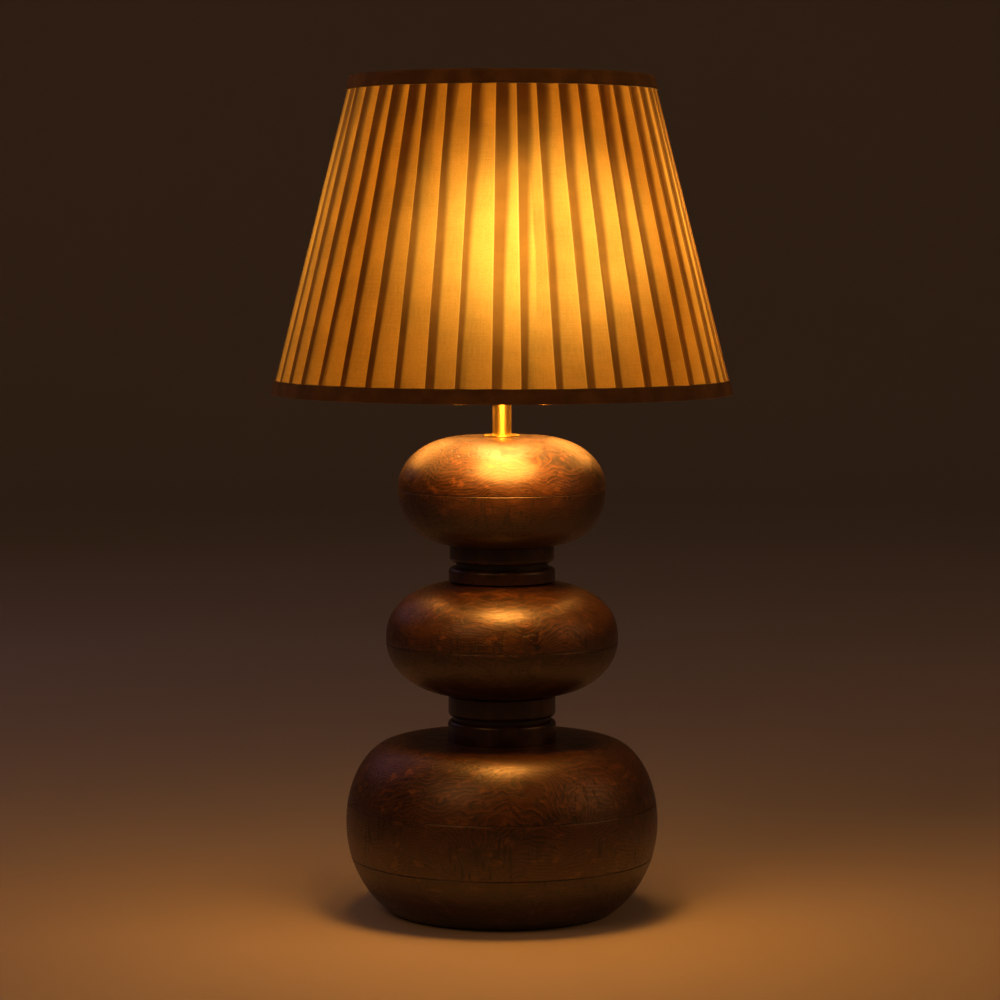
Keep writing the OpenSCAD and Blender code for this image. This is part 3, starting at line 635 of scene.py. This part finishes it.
# Each bead's seats and the height of its widest line above its foot come from the photo's outline.
z0, z1 = low("middle_bead").z, high("middle_bead").z
bead("middle_bead", BEADS[1], quarter(0.0357, wide("middle_bead"), z0 + 0.0423, z0),
     quarter(0.017, wide("middle_bead"), z0 + 0.0423, z1, 2.4), [(BORE_R, z1), (BORE_R, z0)], 8.7)
z0, z1 = low("top_bead").z, high("top_bead").z
bead("top_bead", BEADS[2], quarter(0.0365, wide("top_bead"), z0 + 0.0444, z0, 2.2),
     quarter(0.030, wide("top_bead"), z0 + 0.0444, z1), [(BORE_R, z1), (BORE_R, z0)], 5.3)
collar("base_collar", 0.5 * MM, 3.4 * MM)
collar("middle_lower_collar", 3.4 * MM, 2.0 * MM)
collar("middle_upper_collar", 0.5 * MM, 3.4 * MM)
collar("top_lower_collar", 3.4 * MM, 0.5 * MM)
spacer("lower_neck_spacer")
spacer("upper_neck_spacer")


def felt_pad():
    """A die-cut felt disc with a soft, slightly hairy edge."""
    r, z1 = wide("felt_pad"), high("felt_pad").z
    outline = [(0.4 * MM, 0.0), (r * 0.5, 0.0)] + arc(r - 0.5 * MM, 0.5 * MM, 0.5 * MM, -90, 0, 4)
    outline += arc(r - 0.5 * MM, z1 - 0.5 * MM, 0.5 * MM, 0, 90, 4) + [(r * 0.5, z1), (0.4 * MM, z1)]

    def shift(angle, radius, z):
        if radius < r * 0.6:
            return radius, z
        return radius - 0.3 * MM * abs(noise.noise(Vector((angle * 60, z * 900, 0)))), z
    points, faces = lathe(outline, 360, True, shift)
    piece = make_piece("felt_foot", points, faces, MATERIALS["felt"], "stand", "felt_pad", 60)
    return piece


felt_pad()


# ---------- the shade ----------

PLEATS = 45
CLOTH_PER_PLEAT = 34.6 * MM
FIRST_FOLD = math.radians(-92.9)     # just left of the front
FOLD_R = 0.24 * MM            # half the gap between two layers at a fold
DIVE = 2.35 * MM              # how deep a panel's hidden edge lies under its neighbour
CLOTH_ROWS = 56


def pleats():
    """For each pleat its fold's angle at the bottom and at the top, and the cloth that it takes."""
    draw = random.Random(23)
    pitch = TURN / PLEATS
    return [(FIRST_FOLD + pitch * (i + draw.uniform(-0.07, 0.07)),
             FIRST_FOLD + pitch * (i + draw.uniform(-0.13, 0.13)),
             CLOTH_PER_PLEAT * draw.uniform(0.95, 1.05)) for i in range(PLEATS)]


def pleat_section(span, lap, soft):
    """One pleat across the cloth: (distance from its fold, depth, painted shade of its layers, painted
    highlight) at each column.
    """
    whole = span + lap
    start = 0.2 * MM
    bow = 0.35 * MM              # how far a panel swells outward between its folds

    def depth(s):
        return start + (DIVE - start) * s / whole - bow * math.sin(math.pi * min(s / span, 1)) ** 2

    steps = [0, 0.15 * lap, 0.5 * lap, lap - soft, lap - soft / 2, lap, lap + soft / 2, lap + soft]
    rest = steps[-1]
    edge = span - 1.5 * MM
    steps += [mix(rest, edge, t) for t in (0.25, 0.5, 0.75, 1.0)]
    steps += [span - 0.8 * MM, span - 0.3 * MM, span, span + lap / 2, whole]
    section = []
    for s in steps:
        # Painted shade: 1 where three layers lie on each other, fading over soft to none on a single layer.
        painted_layer_shade = 1 - smooth((s - lap + soft) / (2 * soft)) if s < span else 1.0
        painted_layer_shade += (1 - painted_layer_shade) * 0.30 * (1 - min(s / span, 1))     # painted shade, darker towards the fold
        painted_fold_highlight = 1.0 if abs(s - span + 0.8 * MM) < 1e-9 else 0.0   # a painted highlight: the light line beside the next fold
        section.append((s, depth(s), painted_layer_shade, painted_fold_highlight))
    section.append((whole + FOLD_R, DIVE - FOLD_R, 1, 0))
    for t in (0, 0.33, 0.67, 1):
        section.append((mix(whole, span, t), mix(DIVE - 2 * FOLD_R, start + 2 * FOLD_R, t), 1, 0))
    section.append((span - FOLD_R, start + FOLD_R, 0.6, 0))
    return section


def pleated_fabric():
    """One closed band of knife pleats, row by row from the bottom, with lengths in metres of cloth."""
    z0, z1 = low("pleated_fabric").z, high("pleated_fabric").z
    rows = pleats()
    points, painted_layer_shade, painted_fold_highlights, cloth = [], [], [], []
    for j in range(CLOTH_ROWS):
        t = j / (CLOTH_ROWS - 1)
        z = mix(z0, z1, t)
        r = shade_radius(z) - CLOTH_IN
        folds = [mix(a, b, t) + 0.25 * MM / r * noise.noise(Vector((i * 3.7, t * 5, 1)))
                 for i, (a, b, _) in enumerate(rows)]
        folds.append(folds[0] + TURN)
        run = 0.0
        for i, (_, _, length) in enumerate(rows):
            span = (folds[i + 1] - folds[i]) * r
            wander = noise.noise(Vector((i * 5.1, t * 2.2, 9))) * smooth(1.6 * t - 0.5)
            # The cloth beyond the span lies under it in two layers. Near the top its edge wanders.
            lap = min(max((length - span) / 2 + 0.34 * span * wander, 2.2 * MM), 0.80 * span)
            # soft sets how wide the painted shade's edge fades.
            soft = min(mix(0.6, 4.0, t) * MM, lap * 0.45, (span - lap - 1.9 * MM) * 0.8)
            section = pleat_section(span, lap, soft)
            for k, (s, depth, painted_stack_shade, painted_fold_highlight) in enumerate(section):
                angle = folds[i] + s / r
                ripple = 0.12 * MM * noise.noise(Vector((i * 2.3 + s * 60, t * 7, 4)))
                radius = r - max(depth + ripple, 0.05 * MM)
                points.append((radius * math.cos(angle), radius * math.sin(angle), z))
                painted_layer_shade.append(painted_stack_shade)
                painted_fold_highlights.append(painted_fold_highlight)
                cloth.append((run + length * k / len(section), z))
            run += length
    columns = len(points) // CLOTH_ROWS
    faces = grid_faces(CLOTH_ROWS, columns, False, True)
    piece = make_piece("pleated_cloth", points, faces, MATERIALS["pleats"], "shade", "pleated_fabric",
                       180)
    # The painted shade of the layers and the painted fold highlights, which the cloth's material reads.
    paint(piece, "painted_layer_shade", painted_layer_shade)
    paint(piece, "painted_fold_highlight", painted_fold_highlights)
    flatten(piece, cloth, columns)
    return piece


def paint(piece, name, values):
    """A number for each point, which the cloth's material reads."""
    attribute = piece.data.attributes.new(name, "FLOAT", "POINT")
    attribute.data.foreach_set("value", values)


def flatten(piece, cloth, columns):
    """A UV map in metres of flat cloth, with the join's last column carried past the end."""
    layer = piece.data.uv_layers.new(name="cloth")
    for polygon in piece.data.polygons:
        points = [piece.data.loops[i].vertex_index for i in polygon.loop_indices]
        across = [p % columns for p in points]
        far = max(across) == columns - 1 and min(across) == 0
        for index, point in zip(polygon.loop_indices, points):
            u, v = cloth[point]
            if far and point % columns == 0:
                u = cloth[columns - 1][0] + 1.5 * MM
            layer.data[index].uv = (u, v)


def trim(node, rim_z, away, ring):
    """A band of tape folded over a rim, with a hem inside. away is 1 or -1, the way in z off the rim."""
    band_z, hem_z = rim_z + away * TRIM_H, rim_z + away * 7.8 * MM
    hem_r = wide(ring) - RING_WIRE_R - 2.4 * MM
    skin = 0.5 * MM              # room under the CAD outline for the tape's waves
    edge = 1.1 * MM              # radius of the turn over the rim

    def face_r(z):
        return shade_radius(z) - skin

    start = [(face_r(band_z) - 0.9 * MM, band_z + away * 0.1 * MM),
             (face_r(band_z), band_z - away * 0.3 * MM)]
    face = [(face_r(z), z) for z in (mix(band_z, rim_z, t) for t in (0.15, 0.3, 0.45, 0.6, 0.75))]
    z = rim_z + away * edge
    turn = [(face_r(z), z), (face_r(rim_z) - 0.35 * edge, rim_z + away * 0.3 * edge),
            (face_r(rim_z) - edge, rim_z + away * 0.1 * MM)]
    back = [(hem_r + edge, rim_z + away * 0.1 * MM), (hem_r + 0.3 * edge, rim_z + away * 0.35 * edge),
            (hem_r, rim_z + away * 1.3 * edge), (hem_r, mix(rim_z, hem_z, 0.6)), (hem_r, hem_z)]
    profile = start + face + turn + back
    segments = 480

    def shift(angle, r, z):
        spot = Vector((math.cos(angle) * 9, math.sin(angle) * 9, z * 40))
        fine = Vector((math.cos(angle) * 70, math.sin(angle) * 70, z * 200))
        lift = 0.25 * MM * noise.noise(spot) + 0.12 * MM * noise.noise(fine)
        edge_wave = 0.30 * MM * noise.noise(Vector((math.cos(angle) * 16, math.sin(angle) * 16, rim_z)))
        return r + min(lift, 0.3 * MM), z + (edge_wave if abs(z - band_z) < 0.5 * MM else 0)
    points, faces = lathe(profile, segments, False, shift)
    if away > 0:
        faces = [tuple(reversed(f)) for f in faces]
    piece = make_piece("taped_" + node, points, faces, MATERIALS["trim"], "shade", node, 180)
    lengths = [0.0]
    for a, b in zip(profile, profile[1:]):
        lengths.append(lengths[-1] + math.dist(a, b))
    around = TURN * face_r((rim_z + band_z) / 2)
    flatten(piece, [(around * i / segments, run) for run in lengths for i in range(segments)], segments)
    return piece


def liner():
    """The thin sheet behind the pleats, lapped and glued at the back."""
    z0, z1 = low("shade_liner").z, high("shade_liner").z
    outside, inside = 4.55 * MM, 5.05 * MM     # the sheet's faces, in from the trim's
    outline = [(shade_radius(z) - outside, z) for z in (mix(z0, z1, i / 12) for i in range(13))]
    outline += [(shade_radius(z) - inside, z) for z in (mix(z1, z0, i / 12) for i in range(13))]

    def shift(angle, r, z):
        seam = math.remainder(angle - BACK, TURN) * r
        lap = smooth((seam + 0.6 * MM) / (1.2 * MM)) if seam < 6 * MM else smooth((7 * MM - seam) / (1 * MM))
        return r - 0.22 * MM * (lap if -0.7 * MM < seam < 7.1 * MM else 0), z
    points, faces = lathe(outline, 720, True, shift)
    piece = make_piece("rolled_liner", points, faces, MATERIALS["liner"], "shade", "shade_liner",
                       60)
    piece.visible_shadow = False
    return piece


pleated_fabric()
trim("top_trim", SHADE_TOP_Z, -1, "shade_top_ring")
trim("bottom_trim", SHADE_LOW_Z, 1, "shade_bottom_ring")
liner()


def wire_ring(node):
    """A ring of round wire with a welded joint at the back."""
    tube_r = (high(node).z - low(node).z) / 2
    centre_z = (high(node).z + low(node).z) / 2
    turns = [TURN * i / 20 for i in range(20)]
    outline = [(wide(node) - tube_r + tube_r * math.cos(a), centre_z + tube_r * math.sin(a)) for a in turns]

    def shift(angle, r, z):
        weld = math.exp(-(math.remainder(angle - BACK, TURN) * r / RING_WIRE_R) ** 2)
        rough = 1 + 0.5 * noise.noise(Vector((angle * 300, z * 2000, 0)))
        grow = 1 + 0.16 * weld * rough
        middle = wide(node) - tube_r
        return middle + (r - middle) * min(grow, 1.2), centre_z + (z - centre_z) * min(grow, 1.2)
    points, faces = lathe(outline, 360, True, shift)
    return make_piece("welded_" + node, points, faces, MATERIALS["brass"], "shade", node, 60)


wire_ring("shade_top_ring")
wire_ring("shade_bottom_ring")


def spider_arms():
    """Arms of round wire from the hub to the top ring, each with a weld at both ends."""
    count, bend_r, arm_r = 3, 8 * MM, 1.5 * MM
    hub_z = (low("spider_hub").z + high("spider_hub").z) / 2
    ring_r = wide("shade_top_ring") - RING_WIRE_R
    ring_z = (low("shade_top_ring").z + high("shade_top_ring").z) / 2
    bend = arc(ring_r - bend_r, hub_z + bend_r, bend_r, -90, 0, 10)
    hub_r = wide("spider_hub") - 0.6 * MM
    level = [(mix(hub_r, bend[0][0], i / 10), hub_z) for i in range(10)]
    upright = [(ring_r, mix(bend[-1][1], ring_z - 1.2 * MM, i / 4)) for i in range(1, 5)]
    route = level + bend + upright

    def radius(t):
        hub_weld, ring_weld = 0.30 * math.exp(-(t / 0.03) ** 2), 0.16 * math.exp(-((1 - t) / 0.02) ** 2)
        return arm_r * (1 + hub_weld + ring_weld)
    parts = []
    for i in range(count):
        a = math.radians(90 + 360 * i / count)
        parts.append(sweep([Vector((r * math.cos(a), r * math.sin(a), z)) for r, z in route], radius, 20))
    points, faces = joined(parts)
    return make_piece("spider_wires", points, faces, MATERIALS["brass"], "shade", "spider_arms", 50)


spider_arms()


# ---------- the harp ----------

def harp_wire():
    """The bent wire that carries the shade, with flat ends."""
    lean, top_r = math.radians(30), 45 * MM     # how far the legs splay, and the crown's corners
    wire_r = high("harp").y
    foot_x = (high("harp_sleeve_right").x + low("harp_sleeve_right").x) / 2
    wide_x = wide("harp") - wire_r
    foot_z, bend_z = low("harp").z, low("harp_saddle").z + 42 * MM
    top_z = high("harp").z - wire_r
    s_r = (wide_x - foot_x) / (2 * (1 - math.cos(lean)))
    wide_z = bend_z + 2 * s_r * math.sin(lean)

    def bow(x, z, r, start, end, steps):
        return [Vector((x + r * math.cos(math.radians(a)), 0, z + r * math.sin(math.radians(a))))
                for a in (mix(start, end, i / steps) for i in range(steps + 1))]
    half = [Vector((foot_x, 0, mix(foot_z, bend_z, i / 8))) for i in range(8)]
    half += bow(foot_x + s_r, bend_z, s_r, 180, 150, 12)
    half += bow(wide_x - s_r, wide_z, s_r, -30, 0, 12)[1:]
    half += [Vector((wide_x, 0, mix(wide_z, top_z - top_r, i / 4))) for i in range(1, 4)]
    half += bow(wide_x - top_r, top_z - top_r, top_r, 0, 90, 24)
    half += [Vector((0, 0, top_z))]
    path = half + [Vector((-p.x, 0, p.z)) for p in reversed(half[:-1])]
    points, faces = sweep(path, wire_r, 24)
    return make_piece("bent_harp", points, faces, MATERIALS["brass"], "harp", "harp", 50)


harp_wire()


# ---------- the bulb ----------

def bulb_outline(inset):
    """Neck, shoulder and ball of the glass."""
    ball = wide("bulb_glass") - inset
    neck_z = low("bulb_glass").z
    neck = 13 * MM - inset
    angle = math.radians(40)
    z0, z1, r1 = neck_z + 6 * MM, BULB_Z - ball * math.sin(angle), ball * math.cos(angle)
    slope = math.tan(angle) * (z1 - z0)
    outline = [(neck, neck_z)]
    for i in range(25):
        t = i / 24
        r = neck + (r1 - neck) * (3 * t * t - 2 * t ** 3) + slope * (t ** 3 - t * t)
        outline.append((r, mix(z0, z1, t)))
    return outline + arc(0, BULB_Z, ball, -38, 89.6, 48)


def bulb_glass():
    outside, inside = bulb_outline(0), bulb_outline(0.9 * MM)
    points, faces = lathe(outside + inside[::-1], 128)
    piece = make_piece("bulb_envelope", points, faces, MATERIALS["bulb_white"], "bulb", "bulb_glass",
                       60)
    piece.visible_shadow = False
    return piece


def filament():
    """A coil of fine wire between the two leads."""
    half, z = wide("filament"), (low("filament").z + high("filament").z) / 2
    turns, per_turn, coil_r = 34, 12, 0.62 * MM
    path = []
    for i in range(turns * per_turn + 1):
        t = i / (turns * per_turn)
        a = TURN * i / per_turn
        path.append(Vector((mix(-half, half, t), coil_r * math.cos(a), z + coil_r * math.sin(a))))
    points, faces = sweep(path, 0.11 * MM, 6)
    return make_piece("coiled_filament", points, faces, MATERIALS["tungsten"], "bulb", "filament",
                      50)


bulb_glass()
filament()


# ---------- the CAD parts that stay ----------

for part in frame["record"]["subparts"]:
    piece = NODES[part["node"]]
    if part["material_slot"] in MATERIALS and not piece.hide_render:
        piece.data.materials.clear()
        piece.data.materials.append(MATERIALS[part["material_slot"]])
        bevel = piece.modifiers.new("edges", "BEVEL")
        bevel.width = 0.12 * MM
        bevel.segments = 2
        bevel.limit_method = "ANGLE"
        bevel.angle_limit = math.radians(40)
        bevel.harden_normals = False


# ---------- floor, light and camera ----------

def stage_floor():
    """A plain pale floor that curves up into a plain wall all round, well clear of the camera."""
    s = Shader("pale_floor")
    tone = s.noise(1.5, 3)
    fine = s.noise(400, 3)
    colour = s.mix(tone, (0.56, 0.53, 0.49), (0.62, 0.59, 0.55))
    material = s.finish(s.principled(
        Base_Color=colour, Roughness=0.75, Normal=s.bump(fine, 0.05 * MM, 0.3)))
    flat_r, wall_r, wall_h = 4.0, 6.0, 6.0     # metres
    sides = 96
    outline = [(0.001, 0.0), (1.0, 0.0)] + arc(flat_r, wall_r - flat_r, wall_r - flat_r, -90, 0, 16)
    points, faces = lathe(outline + [(wall_r, wall_h)], sides, False)
    mesh = bpy.data.meshes.new("floor")
    mesh.from_pydata(points, [], [tuple(reversed(f)) for f in faces] + [tuple(range(sides))])
    mesh.materials.append(material)
    mesh.shade_smooth()
    floor = bpy.data.objects.new("floor", mesh)
    floor.visible_shadow = False
    bpy.context.scene.collection.objects.link(floor)
    return floor


# Light colours, from the photo: through the cloth, straight from the bulb, and off the shade's inside.
THROUGH_CLOTH = (1.0, 0.55, 0.17)
WARM = (1.0, 0.43, 0.085)
AMBER = (1.0, 0.35, 0.050)
ROOM = (1.0, 0.40, 0.13)
MAUVE = (0.70, 0.50, 0.80)


def lamp_light(name, watts, radius, colour, shade_only):
    """The bulb's light. One copy lights the cloth through its layers, and one lights all the rest.

    The cloth's copy has only the floor to block it, so it passes every layer. It sits where the photo's
    bright patch is, to the right of the bulb's centre and above it.
    """
    data = bpy.data.lights.new(name, "POINT")
    data.energy = watts
    data.color = colour
    data.shadow_soft_size = radius
    light = bpy.data.objects.new(name, data)
    light.location = (20 * MM, 0, BULB_Z + 14 * MM) if shade_only else (0, 0, BULB_Z)
    bpy.context.scene.collection.objects.link(light)
    receivers = bpy.data.collections.new(name + "_receivers")
    for piece in bpy.context.scene.objects:
        in_shade = piece.name.startswith(("pleated_cloth", "taped_", "rolled_liner"))
        if piece.type == "MESH" and in_shade == shade_only and piece.name != "floor":
            receivers.objects.link(piece)
    light.light_linking.receiver_collection = receivers
    if shade_only:
        blockers = bpy.data.collections.new(name + "_blockers")
        blockers.objects.link(bpy.data.objects["floor"])
        light.light_linking.blocker_collection = blockers
    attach(light, "stand")
    return light


def soft_light(name, place, target, size, watts, colour):
    """A round soft light that faces target."""
    data = bpy.data.lights.new(name, "AREA")
    data.shape = "DISK"
    data.size = size
    data.energy = watts
    data.color = colour
    light = bpy.data.objects.new(name, data)
    light.location = place
    light.rotation_euler = (Vector(target) - Vector(place)).to_track_quat("-Z", "Y").to_euler()
    bpy.context.scene.collection.objects.link(light)
    return light


def shade_glow(azimuth, watts):
    """A patch of the shade's lit inside, which shines on the beads from its open bottom."""
    a, from_axis = math.radians(azimuth), 0.110
    place = Vector((from_axis * math.sin(a), -from_axis * math.cos(a), SHADE_LOW_Z - 1 * MM))
    light = soft_light("shade_glow", place, (place.x * 0.6, place.y * 0.6, 0), 0.10, watts, AMBER)
    light.visible_camera = False
    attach(light, "stand")


def make_camera():
    """The photo's view, from a fit of the shade's rims and the beads: a long lens, 4.5 degrees downward."""
    data = bpy.data.cameras.new("camera")
    data.lens = 118.14
    data.sensor_width = 36
    camera = bpy.data.objects.new("camera", data)
    camera.location = (-0.0015, -2.5106, 0.5151)
    camera.rotation_euler = (math.radians(90 - 4.5), 0, 0)
    bpy.context.scene.collection.objects.link(camera)
    bpy.context.scene.camera = camera


stage_floor()
lamp_light("bulb_on_cloth", 1.48, 0.034, THROUGH_CLOTH, True)
lamp_light("bulb_on_rest", 9.0, 0.024, WARM, False)
for azimuth, watts in ((3, 0.80), (123, 0.12), (-117, 0.12)):
    shade_glow(azimuth, watts)
soft_light("key", (-1.6, -1.9, 2.3), (0, 0, 0.25), 1.6, 10, ROOM)
soft_light("fill", (2.2, -0.6, 1.4), (0, 0, 0.25), 1.8, 5.5, ROOM)
soft_light("cool_sheen", (-1.5, 1.3, 1.5), (0, 0, 0.2), 1.6, 1.0, MAUVE)
world = bpy.data.worlds.new("studio")
bpy.context.scene.world = world
world.use_nodes = True
world.node_tree.nodes["Background"].inputs["Color"].default_value = (0.30, 0.21, 0.16, 1)
world.node_tree.nodes["Background"].inputs["Strength"].default_value = 0.10
bpy.context.scene.view_settings.view_transform = "Standard"
make_camera()
